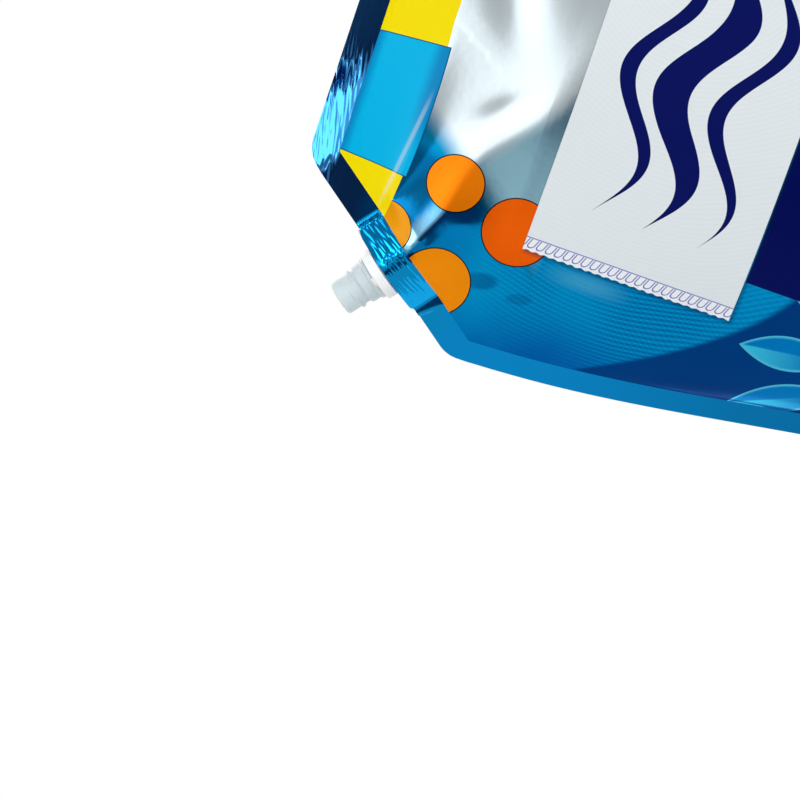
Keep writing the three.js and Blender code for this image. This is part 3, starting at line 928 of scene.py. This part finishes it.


# Places of the print and of the painted shade and highlights. A pair is the stretch over which a field fades
# in or out.
METAL_LEAN = -0.7
METAL_EDGE = (-234, -221)
METAL_FRINGE = (-239, -233)
# Where the silver turns darker and bluer
LOWER_SILVER_EDGE = (232, 222)
# Where the painted highlight above the main crease lies
GLEAM_AT = (-73.8, 271.8)
GLEAM_TILT = -0.43
GLEAM_ACROSS = ((-1.2, -0.2), (6.5, 1.5))
GLEAM_END = (20.0, 6.0)
# Where the painted shade in the hollow above the main crease lies, across and along it
HOLLOW_SHADE_ACROSS = ((5.0, 8.0), (18.0, 13.0))
HOLLOW_SHADE_ALONG = ((-16.0, -9.0), (26.0, 12.0))
DEEP_ACROSS = ((-84, -74), (-39, -48))
DEEP_UP = (268, 275)
WEAVE_CENTRE = (60, 205)
WEAVE_DRIFT = 13.0
WARP = 3.6
WEFT = 2.9
CLOTH_EDGE = (-231, -236)
CLOTH_TOP = (262, 244)
CLOTH_RIGHT_TOP = (234, 227)
CLOTH_THREADS = (292, 250)
CLOTH_SHADE_EDGE = (-92, -62)
# Painted shade: each soft dark patch on the cloth, with its place, reach along and across, and share
CLOTH_PAINTED_SHADES = [((-84.5, 246.5), (4.2, 8.0), 0.5), ((-86.5, 231.0), (2.6, 6.0), 0.3)]
CLOTH_PAINTED_SHADE_TILT = 0.25
# Place, turn, and fades along and across of the painted sheen highlight on the cloth
CLOTH_PAINTED_SHEEN_PATCH = ((-72.5, 210.0), math.pi / 2, (19, 2), (5, 0.5))
DEEP_GROUND_EDGE = (2.5, -1.5)
STRIP_FOOT = 284.2
STRIP_SAG = 28.0
# Where the painted highlight streak along the strip's crease lies
STRIP_PAINTED_STREAK = ((-47.0, 287.3), -0.12, (26, 12), (1.1, 0.3))
BLOCK_FOOT = 283.2
BLOCK_FIRST = -55.5
BLOCK_LAST = -8.2
BLOCK_RIM = 0.4
PANEL_CORNER = (-67.4, 236.1)
PANEL_TILT = -0.006
PANEL_LENGTH = 150.0
PANEL_WIDTH = 78.6
FIELD_MARGIN = 16.0
FIELD_REACH = (-116, -79)
CAST_REACH = 1.2
STITCH = 3.4
STITCH_FOOT = 2.3
STITCH_RADIUS = 0.36 * STITCH
HEM = 4.9
WAVE_HEIGHT = 8.0
WAVE_LENGTH = 66.0
# Each wave's middle, phase and half thickness
WAVES = [(-22, 0.6, 3.0), (-39, 0.9, 6.6), (-57, 1.2, 3.0)]
# Each disc's place, radius and ink, and how much of the metal it covers
DISCS = [
    ((-52.7, 266.5), 10.3, ORANGE, 0.6),
    ((-62.6, 239.9), 12.6, DEEP_ORANGE, 0.6),
    ((-90.5, 262.3), 13.2, LIGHT_ORANGE, 0.6),
    ((-76.6, 285.9), 9.6, AMBER, 0.95),
]
DISC_LINE = 0.45
DISC_SHADE = 0.92
# Each leaf's place, turn, half length and half width
LEAVES = [
    ((-73.0, 133.0), -1.45, 18.0, 7.0),
    ((-92.0, 129.0), -1.1, 20.0, 6.5),
    ((-51.0, 122.0), -1.75, 21.0, 7.5),
    ((-70.0, 92.0), -1.2, 22.0, 8.0),
    ((-26.0, 112.0), -2.1, 22.0, 8.0),
    ((-42.0, 78.0), -1.6, 22.0, 8.0),
    ((-14.0, 74.0), -2.0, 20.0, 7.0),
]
BACK_STRIP_FOOT = 289.5
BACK_SWEEP_EDGE = (88, 85)
BACK_LABEL_HALF_WIDTH = 72
BACK_LABEL = (112, 246)
BACK_HEAD = (231, 250)
MARK_HEIGHT = 204
MARK_RADIUS = 15
MARK_RIM = 2
MARKS = [(-40, ORANGE), (0, SKY), (40, YELLOW)]
BAR_END = 58
BAR_HEIGHT = 5
# Each bar's start and foot
BARS = [(-58, 170), (-44, 157), (-54, 144), (-12, 131)]
# Heights over which the painted shade on the seals fades out
SEAL_SHADE_RISE = (110, 235)
SEAL_CHANGE = (246, 262)
WELD_INK = (5.6, 18.4)
TOP_SEAL_CHANGE = (293, 299)
FLOW_STRETCH = (1, 1, 1.6)
FILM_GLOSS = (0.08, 0.15)
INK_ROUGHNESS = 0.12
METAL_ROUGHNESS = 0.07
INK_SPECULAR = 0.07


def turned(x, z, at, angle):
    """Distances along and across a line through a place, at an angle from x."""
    c, s = math.cos(angle), math.sin(angle)
    dx, dz = x - at[0], z - at[1]
    return dx * c + dz * s, dz * c - dx * s


def distance(x, z, at=(0, 0)):
    dx, dz = x - at[0], z - at[1]
    return (dx * dx + dz * dz).math("SQRT")


def patch(x, z, at, angle, along_fade, across_fade):
    """A soft patch round a place, 1 in its middle, with the stretches over which it fades."""
    along, across = turned(x, z, at, angle)
    return abs(along).step(*along_fade) * abs(across).step(*across_fade)


def woven(x, z):
    """A fine printed cloth pattern, from 0 to 1, whose threads run in wide arcs."""
    drift = x.graph.noise(0.014, 2.0) * WEAVE_DRIFT
    warp = ((distance(x, z, WEAVE_CENTRE) + drift) * WARP).math("SINE")
    weft = ((z + drift) * WEFT).math("SINE")
    return warp * (weft * 0.35 + 0.65) * 0.5 + 0.5


def leaves(x, z, flow, colour):
    for at, turn, long, wide in LEAVES:
        along, across = turned(x, z, at, turn)
        along = along * (1 / long)
        away = along * along + abs(across) * (1 / wide)
        leaf = along.step(1, -1).mix(LEAF_DEEP, LEAF_LIGHT)
        leaf = (flow * 3.0 + across).step(1.2, 2.0).mix(leaf, LEAF_FOLD)
        leaf = away.step(0.80, 0.97).mix(leaf, LEAF_EDGE)
        colour = away.short_of(1.0, 0.02).mix(colour, leaf)
    return colour


def discs(x, z, colour):
    """Discs with a thin dark line round them, and how much of the metal below they cover."""
    cover = []
    for at, radius, ink, body in DISCS:
        away = distance(x, z, at)
        shaded = away.step(radius * 0.2, radius).mix(ink, dimmed(ink, DISC_SHADE))
        inside = away.short_of(radius)
        colour = away.short_of(radius + DISC_LINE).mix(colour, OUTLINE)
        colour = inside.mix(colour, shaded)
        cover.append(inside * body)
    return colour, most(*cover)


def ground(x, z, flow, ragged):
    """Azure that clears to bare metal in the upper middle, and half clears to silver just above the main
    crease beside the spout as a painted highlight.
    """
    along, across = turned(x, z, GLEAM_AT, GLEAM_TILT)
    # Painted highlight, partly real: just above the main crease the ink half clears to silver, and real
    # reflections brighten it further
    gleam = across.window(*GLEAM_ACROSS) * along.step(*GLEAM_END)
    clear = most(ragged.step(*METAL_EDGE), gleam * 0.5)
    # Painted shade: darker ink in the hollow above the main crease
    hollow_shade = across.window(*HOLLOW_SHADE_ACROSS) * along.window(*HOLLOW_SHADE_ALONG)
    deep = z.step(*DEEP_UP) * x.window(*DEEP_ACROSS)
    colour = most(flow.step(0.75, 0.2), deep).mix(AZURE, DEEP_AZURE)
    colour = (hollow_shade * 0.8).mix(colour, HOLLOW_SHADE)
    colour = (ragged.step(*METAL_FRINGE) * 0.7).mix(colour, FRINGE_AZURE)
    # The silver turns darker and bluer lower down and to the left
    metal = (x * 0.8 + z).step(*LOWER_SILVER_EDGE).mix(SILVER, LOWER_SILVER)
    return clear.mix(colour, metal), clear


def cloth(x, z, flow, ragged, colour):
    """Printed cloth at the lower left, with painted dark patches and a painted sheen on it, which gives way
    to a deep blue ground along a curved edge.
    """
    weave = woven(x, z)
    shown = (z - x * 0.4).step(*CLOTH_THREADS) * flow.step(0.25, 0.6)
    ink = (weave * shown).mix(CLOTH_AZURE, CLOTH_THREAD)
    ink = (flow * 40 + x).step(*CLOTH_SHADE_EDGE).mix(CLOTH_SHADE, ink)
    # Painted shade: soft dark patches that stand in for dark reflections of dents
    for at, (long, wide), share in CLOTH_PAINTED_SHADES:
        along, across = turned(x, z, at, CLOTH_PAINTED_SHADE_TILT)
        away = distance(along * (1 / long), across * (1 / wide))
        ink = (away.step(1.0, 0.55) * share).mix(ink, DARK_AZURE)
    # Painted highlight: a pale sheen on the cloth, whose strength follows the weave
    painted_sheen = patch(x, z, *CLOTH_PAINTED_SHEEN_PATCH) * (weave * 0.4 + 0.3)
    ink = painted_sheen.mix(ink, CLOTH_PAINTED_SHEEN)
    left = ragged.step(*CLOTH_EDGE) * z.step(*CLOTH_TOP)
    right = (most(x - 15, 0.0) * 0.3 + z).step(*CLOTH_RIGHT_TOP)
    colour = most(left, right).mix(colour, ink)
    run = (x + 85).math("MINIMUM", 55.0)
    edge = run * (run * 0.0115 - 1.33) + 169.5
    return (z - edge).step(*DEEP_GROUND_EDGE).mix(colour, flow.mix(DARK_AZURE, GROUND_BLUE))


def strip(x, z, colour, solid):
    """A yellow strip along the top, with a light blue block on it that reaches a little lower, and a painted
    highlight streak along the strip's crease.
    """
    sag = (x.math("MINIMUM", 2.0) + STRIP_SAG) * (1 / STRIP_SAG)
    rise = z - sag * sag
    first = (z - 298) * -0.077 + x
    last = (z - 297) * 0.09 + x

    def block(grown):
        ends = first.past(BLOCK_FIRST - grown) * last.short_of(BLOCK_LAST + grown)
        return ends * rise.past(BLOCK_FOOT - grown)

    yellow, rim = rise.past(STRIP_FOOT), block(BLOCK_RIM)
    colour = rim.mix(yellow.mix(colour, YELLOW), SKY_RIM)
    lower_edge = z.step(290.5, 285.0) * x.step(-52, -30)
    edges = most(z.step(305.5, 310.0), lower_edge) * 0.65
    colour = block(0).mix(colour, edges.mix(SKY, SKY_SHADE))
    # Painted highlight: a pale streak along the strip's crease, on the yellow
    painted_streak = patch(x, z, *STRIP_PAINTED_STREAK) * yellow * 0.3
    return painted_streak.mix(colour, PAPER_WHITE), most(solid, yellow, rim)


def hem(along, across, paper):
    """The label's hem: a line across it, and stitched loops that lean a little."""
    seam = along.between(HEM - 0.2, HEM + 0.2)
    beside = (along * 0.4 + across).math("FLOORED_MODULO", STITCH) - STITCH / 2
    below = (along - STITCH_FOOT).math("MINIMUM", 0.0)
    loop = abs(distance(beside, below) - STITCH_RADIUS)
    stitches = loop.step(0.32, 0.12) * along.between(0.5, HEM - 0.3, 0.2)
    paper = along.step(HEM + 0.4, HEM).mix(paper, HEM_WHITE)
    return most(seam, stitches).mix(paper, STITCH_BLUE)


def waves(along, across, paper):
    """Three plain ribbons that taper to points."""
    taper = along.window((20, 60), (PANEL_LENGTH - 12, PANEL_LENGTH - 52))
    for middle, phase, thick in WAVES:
        wave = (along * (2 * math.pi / WAVE_LENGTH) + phase).math("SINE")
        off = abs(across - middle - wave * WAVE_HEIGHT)
        ribbon = (taper * thick - off).past(0) * along.between(22, PANEL_LENGTH - 14)
        paper = ribbon.mix(paper, NAVY)
    return paper


def label(x, z, colour, solid):
    """A navy field, and on it a white label with a stitched hem that casts a soft shadow."""
    along, across = turned(x, z, PANEL_CORNER, PANEL_TILT)
    field = along.between(FIELD_MARGIN, PANEL_LENGTH - FIELD_MARGIN) * across.between(*FIELD_REACH, 0.2)
    cast = along.between(-CAST_REACH, PANEL_LENGTH + CAST_REACH, CAST_REACH)
    cast = cast * across.between(-PANEL_WIDTH - CAST_REACH, -0.4, CAST_REACH)
    colour = (cast * 0.55).mix(field.mix(colour, NAVY), CAST_SHADOW)
    scallop = (across * (2 * math.pi / STITCH)).math("COSINE") * 0.22
    frayed = along + scallop + x.graph.noise(0.4, 2.0) * 0.5
    panel = frayed.between(0.25, PANEL_LENGTH) * across.between(-PANEL_WIDTH, 0)
    paper = hem(along, across, woven(x, z).mix(PAPER_THREAD, PAPER_WHITE))
    return panel.mix(colour, waves(along, across, paper)), most(solid, panel, field * 0.7)


def finish_print(graph, x, z, colour, solid, gloss):
    """Ends a printed film with its foot, a band welded to the gusset that rises at the ends."""
    rise = abs(x).step(GUSSET_FLAT_LENGTH / 2, FOOT_LENGTH / 2) * SKIRT_RISE
    colour = (z - rise).short_of(SKIRT_HEIGHT, 0.3).mix(colour, AZURE)
    graph.hold("Specular IOR Level", INK_SPECULAR)
    graph.bumps(graph.noise(0.35), 0.12, 0.13)
    return graph.finish(colour, solid * -1.0 + 1.0, solid * INK_ROUGHNESS + gloss)


def front_material():
    graph = Graph("film_front")
    x, z = graph.film_place()
    flow = graph.noise(0.011, 3.0, FLOW_STRETCH)
    ragged = graph.noise(0.03, 2.0) * 6.0 + (z * METAL_LEAN + x)
    colour, clear = ground(x, z, flow, ragged)
    colour = leaves(x, z, flow, cloth(x, z, flow, ragged, colour))
    colour, solid = discs(x, z, colour)
    colour, solid = strip(x, z, colour, solid)
    colour, solid = label(x, z, colour, solid)
    return finish_print(graph, x, z, colour, solid, clear * METAL_ROUGHNESS + graph.gloss(*FILM_GLOSS))


def back_label(x, z):
    """White paper with a light blue head, three round marks and pale bars below them."""
    paper = woven(x, z).mix(PAPER_THREAD, PAPER_WHITE)
    paper = z.between(*BACK_HEAD).mix(paper, SKY)
    for across, ink in MARKS:
        away = distance(x, z, (across, MARK_HEIGHT))
        paper = away.short_of(MARK_RADIUS).mix(paper, NAVY)
        paper = away.short_of(MARK_RADIUS - MARK_RIM).mix(paper, ink)
    for start, foot in BARS:
        bar = x.between(start, BAR_END) * z.between(foot, foot + BAR_HEIGHT)
        paper = bar.mix(paper, BAR_GREY)
    return paper


def back_material():
    graph = Graph("film_back")
    x, z = graph.film_place()
    flow = graph.noise(0.009, 3.0, FLOW_STRETCH)
    colour = flow.step(0.3, 0.7).mix(DEEP_AZURE, AZURE)
    sweep = (x * 0.022).math("SINE") * 18.0 + z
    colour = sweep.step(*BACK_SWEEP_EDGE).mix(colour, flow.mix(DARK_AZURE, GROUND_BLUE))
    colour, solid = discs(x, z, leaves(x, z + 50, flow, colour))
    yellow = z.past(BACK_STRIP_FOOT)
    colour = yellow.mix(colour, YELLOW)
    panel = x.between(-BACK_LABEL_HALF_WIDTH, BACK_LABEL_HALF_WIDTH) * z.between(*BACK_LABEL)
    colour = panel.mix(colour, back_label(x, z))
    return finish_print(graph, x, z, colour, most(solid, yellow, panel), graph.gloss(*FILM_GLOSS))


def seal_material():
    graph = Graph("film_seal")
    x, z = graph.film_place()
    # Painted shade: the seals' ink darkens lower down, standing in for the dimmer light they reflect there;
    # the noise adds random variation in tone
    tone_and_shade = z.step(*SEAL_SHADE_RISE) + graph.noise(0.03) * 0.3 - 0.15
    colour = tone_and_shade.mix(dimmed(AZURE, 0.68), AZURE)
    colour = z.step(*SEAL_CHANGE).mix(colour, SEAL_AZURE)
    along, _ = turned(x, z, (SPOUT_FOOT.x, SPOUT_FOOT.z), math.pi / 2 - CUT_ANGLE)
    welded = along.between(*WELD_INK, 1.4) * x.step(-55, -65)
    colour = welded.mix(colour, WELD_AZURE)
    upper = z.step(*TOP_SEAL_CHANGE) * x.step(60, -10)
    colour = upper.mix(colour, TOP_SEAL_BLUE)
    graph.bumps(graph.noise(0.5, 4.0, (0.12, 1, 1)), 0.03, 0.35)
    graph.hold("Coat Weight", 0.08)
    graph.hold("Coat Roughness", 0.1)
    return graph.finish(colour, 1.0, graph.gloss(0.08, 0.13))


def gusset_material():
    graph = Graph("film_gusset")
    graph.bumps(graph.noise(0.3), 0.12, 0.25)
    return graph.finish(graph.noise(0.02).mix(DEEP_AZURE, AZURE), 1.0, graph.gloss(0.2, 0.32))


def spout_material():
    graph = Graph("spout_plastic")
    graph.hold("Subsurface Weight", 0.6)
    graph.hold("Subsurface Radius", (0.8, 1.0, 1.0))
    graph.hold("Subsurface Scale", 2 * MM)
    graph.hold("Transmission Weight", 0.3)
    graph.hold("IOR", 1.5)
    graph.bumps(graph.noise(0.6, 2.0), 0.05, 0.2)
    return graph.finish(graph.noise(0.08).mix(*SPOUT_TINTS), 0.0, graph.gloss(0.3, 0.42))


def band_material():
    graph = Graph("band_plastic")
    graph.hold("Subsurface Weight", 0.15)
    graph.hold("Subsurface Radius", (1.0, 1.0, 1.0))
    graph.hold("Subsurface Scale", 1 * MM)
    graph.bumps(graph.noise(0.5, 2.0), 0.05, 0.2)
    return graph.finish(graph.noise(0.06).mix(*BAND_TINTS), 0.0, graph.gloss(0.32, 0.42))


# Stage, in metres: a white floor and wall, soft boxes, a strip lamp, and two cards that the film reflects
WATCHED = Vector((-0.05, 0.0, 0.27))
FLOOR_RADIUS = 6.0
WALL_AT = 4.0
SHADOW_REACH = 1.1
STAGE_GLOW = 0.25
CARD_DISTANCE = 0.55
WORLD_LIGHT = 0.55


def white_stage(name):
    """White for the camera and in reflections, but near the object a lit surface that takes its shadow."""
    graph = Graph(name)
    path = graph.node("LightPath").outputs
    rays = ("Is Camera Ray", "Is Glossy Ray", "Is Transmission Ray")
    seen = most(*(Value(graph, path[ray]) for ray in rays))
    graph.hold("Specular IOR Level", 0.0)
    graph.hold("Emission Color", WHITE)
    graph.feed(graph.shader.inputs["Emission Strength"], seen * STAGE_GLOW)
    graph.finish(STAGE_GREY, 0.0, 0.9)
    away = Value(graph, graph.node("VectorMath", graph.place, operation="LENGTH").outputs["Value"])
    far = away.step(SHADOW_REACH * 0.4, SHADOW_REACH)
    white = graph.node("Emission").outputs[0]
    both = graph.node("MixShader", seen * far, graph.shader.outputs[0], white)
    graph.feed(graph.nodes["Material Output"].inputs["Surface"], both.outputs[0])
    return graph.material


def card_material(name, glow):
    """A card that is only there for the film to reflect."""
    graph = Graph(name)
    graph.hold("Specular IOR Level", 0.0)
    graph.hold("Emission Color", (*glow, 1))
    graph.hold("Emission Strength", 1.0)
    return graph.finish(CARD_BLACK, 0.0, 1.0)


def add_sheet(name, corners, material):
    sheet = add_mesh(name, corners, [range(len(corners))], [material])
    return sheet


def towards(across, up, away):
    """A place seen from the pouch at angles from straight ahead, in degrees to the right and up."""
    a, e = math.radians(across), math.radians(up)
    return WATCHED + away * Vector((math.sin(a) * math.cos(e), -math.cos(a) * math.cos(e), math.sin(e)))


def add_card(name, across, up, glow):
    corners = [towards(a, e, CARD_DISTANCE) for a, e in zip(np.repeat(across, 2), (*up, *up[::-1]))]
    card = add_sheet(name, corners, card_material(name, glow))
    card.visible_camera = False
    card.visible_diffuse = False
    card.visible_shadow = False


def add_lamp(name, place, wide, tall, brightness):
    """A flat rectangular lamp that faces the pouch. Brightness 1 is white in a mirror."""
    lamp = bpy.data.lights.new(name, "AREA")
    lamp.shape = "RECTANGLE"
    lamp.size = wide
    lamp.size_y = tall
    lamp.energy = brightness * math.pi * wide * tall
    holder = add_object(name, lamp)
    holder.location = place
    holder.rotation_mode = "QUATERNION"
    holder.rotation_quaternion = (WATCHED - place).to_track_quat("-Z", "Y")
    holder.visible_camera = False


def make_stage():
    r, y = FLOOR_RADIUS, WALL_AT
    angles = np.linspace(0, 2 * math.pi, 64, endpoint=False)
    around = [(r * math.cos(a), r * math.sin(a), 0.0) for a in angles]
    add_sheet("stage_floor", around, white_stage("stage_floor"))
    add_sheet("stage_wall", [(-r, y, 0), (r, y, 0), (r, y, r), (-r, y, r)], white_stage("stage_wall"))
    add_card("stage_dark_card", (-20.0, 0.0), (-22.0, 4.5), (0.045, 0.05, 0.10))
    add_card("stage_grey_card", (-90.0, -20.0), (-28.0, 12.0), (0.64, 0.64, 0.64))
    add_lamp("front_soft_box", towards(-9, 33.5, 1.65), 0.95, 0.98, 0.92)
    add_lamp("front_strip", towards(-15, 38.5, 1.5), 0.9, 0.42, 3.5)
    add_lamp("side_soft_box", towards(62, 25, 1.8), 1.2, 1.1, 2.7)
    add_lamp("back_soft_box", towards(190, 36, 1.9), 1.5, 1.0, 2.2)
    world = bpy.data.worlds.new("studio")
    bpy.context.scene.world = world
    world.use_nodes = True
    background = world.node_tree.nodes["Background"]
    background.inputs["Color"].default_value = WHITE
    background.inputs["Strength"].default_value = WORLD_LIGHT


# Camera, in metres: the pouch was held tipped over when it was photographed, so the camera is rolled
CAMERA_AIM = Vector((-0.13713, 0.0, 0.25974))
CAMERA_SIDE = Vector((0.230, -0.970, 0.074)).normalized()
CAMERA_DISTANCE = 1.6
CAMERA_ROLL = math.radians(72.17)
CAMERA_LENS = 196.26


def make_camera():
    camera = bpy.data.cameras.new("camera")
    camera.lens = CAMERA_LENS
    camera.sensor_width = 36.0
    camera.clip_start = 0.05
    camera.clip_end = 50.0
    holder = add_object("camera", camera)
    level = (-CAMERA_SIDE).to_track_quat("-Z", "Y").to_matrix()
    rolled = level @ Matrix.Rotation(-CAMERA_ROLL, 3, "Z")
    holder.matrix_world = Matrix.Translation(CAMERA_AIM + CAMERA_SIDE * CAMERA_DISTANCE) @ rolled.to_4x4()
    bpy.context.scene.camera = holder


make_pouch([front_material(), seal_material(), back_material(), gusset_material()])
make_spout(spout_material())
make_band(band_material())
make_stage()
make_camera()
bpy.context.scene.view_settings.view_transform = "Standard"
